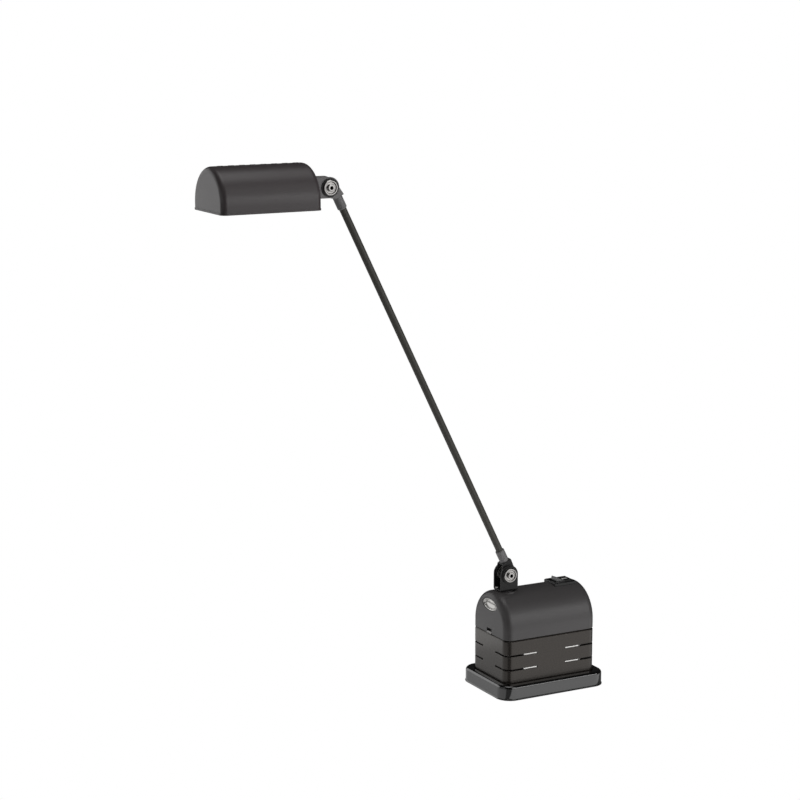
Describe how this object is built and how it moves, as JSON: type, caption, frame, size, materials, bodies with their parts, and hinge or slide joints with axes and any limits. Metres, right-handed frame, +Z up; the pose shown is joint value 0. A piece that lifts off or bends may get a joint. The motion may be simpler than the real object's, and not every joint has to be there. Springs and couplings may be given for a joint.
{
  "type": "adjustable halogen desk lamp",
  "caption": "Desk lamp with a box foot that holds its transformer, a rocker switch, a thin swing arm between two friction hinges and a half-barrel halogen head.",
  "frame": {"origin": "centre of the underside of the foot", "axes": "+Z up, +X along the foot towards the switch, the arm leans towards -X, mirror plane y = 0"},
  "size_m": [0.3771, 0.081, 0.4926],
  "materials": {
    "foot_rubber": "matte",
    "tray_enamel": "gloss",
    "housing_plastic": "satin",
    "cover_paint": "matte",
    "switch_plastic": "gloss",
    "rocker_plastic": "gloss",
    "black_nylon": "satin",
    "pale_nylon": "satin",
    "inlay_metal": "polished",
    "core_steel": "satin",
    "zinc_steel": "satin",
    "winding": "satin",
    "tab_brass": "satin",
    "bracket_paint": "satin",
    "tube_paint": "satin",
    "bright_nickel": "polished",
    "black_steel": "satin",
    "lead_insulation": "satin",
    "head_paint": "matte",
    "reflector_bright": "polished",
    "holder_ceramic": "matte",
    "quartz": "polished"
  },
  "bodies": {
    "base": {"foot_pad": "foot_rubber", "tray": "tray_enamel", "foot_screws": "zinc_steel", "lower_housing": "housing_plastic", "latch_clips": "zinc_steel", "top_cover": "cover_paint", "end_inlay": "inlay_metal", "cord_inlet": "black_nylon", "transformer_core": "core_steel", "bobbin": "black_nylon", "coil": "winding", "transformer_strap": "zinc_steel", "strap_screws": "zinc_steel", "terminal_block": "pale_nylon", "switch_body": "switch_plastic", "switch_tabs": "tab_brass", "foot_pivot_screw": "black_steel", "foot_pivot_washer": "black_steel", "foot_pivot_nut": "zinc_steel"},
    "switch_key": {"rocker": "rocker_plastic"},
    "fork_body": {"fork": "bracket_paint", "fork_stop_pin": "bright_nickel", "foot_hinge_bolt": "bright_nickel", "foot_hinge_nut": "bright_nickel", "foot_hinge_cups": "bright_nickel", "foot_hinge_insulators": "black_nylon"},
    "arm": {"lower_yoke": "bracket_paint", "lower_sleeve": "bracket_paint", "arm_tube": "tube_paint", "arm_leads": "lead_insulation", "upper_sleeve": "bracket_paint", "upper_yoke": "bracket_paint", "foot_contact_discs": "bright_nickel", "foot_hinge_spacer": "black_nylon", "head_contact_discs": "bright_nickel", "head_hinge_spacer": "black_nylon"},
    "bracket": {"head_bracket": "bracket_paint", "head_stop_pin": "bright_nickel", "head_hinge_bolt": "bright_nickel", "head_hinge_nut": "bright_nickel", "head_hinge_cups": "bright_nickel", "head_hinge_insulators": "black_nylon"},
    "head": {"head_shell": "head_paint", "reflector": "reflector_bright", "reflector_screws": "zinc_steel", "lamp_holder": "holder_ceramic", "holder_screws": "zinc_steel", "halogen_capsule": "quartz", "head_pivot_screw": "black_steel", "head_pivot_washer": "black_steel", "head_pivot_nut": "zinc_steel"}
  },
  "joints": [
    {"name": "switch_rocker", "type": "hinge", "parent": "base", "child": "switch_key", "pos_m": [0.0279, 0, 0.08825], "axis": [0, 1, 0], "range_deg": [-20, 0]},
    {"name": "fork_swivel", "type": "hinge", "parent": "base", "child": "fork_body", "pos_m": [-0.0309, 0, 0.09335], "axis": [0, 0, 1], "range_deg": [-165, 165]},
    {"name": "arm_hinge", "type": "hinge", "parent": "fork_body", "child": "arm", "pos_m": [-0.0309, 0, 0.1083], "axis": [0, 1, 0], "range_deg": [-58.7, 111.3]},
    {"name": "head_hinge", "type": "hinge", "parent": "arm", "child": "bracket", "pos_m": [-0.21155, 0, 0.47078], "axis": [0, 1, 0], "range_deg": [-45, 85]},
    {"name": "head_roll", "type": "hinge", "parent": "bracket", "child": "head", "pos_m": [-0.2299, 0, 0.47078], "axis": [1, 0, 0], "range_deg": [-90, 90]}
  ]
}
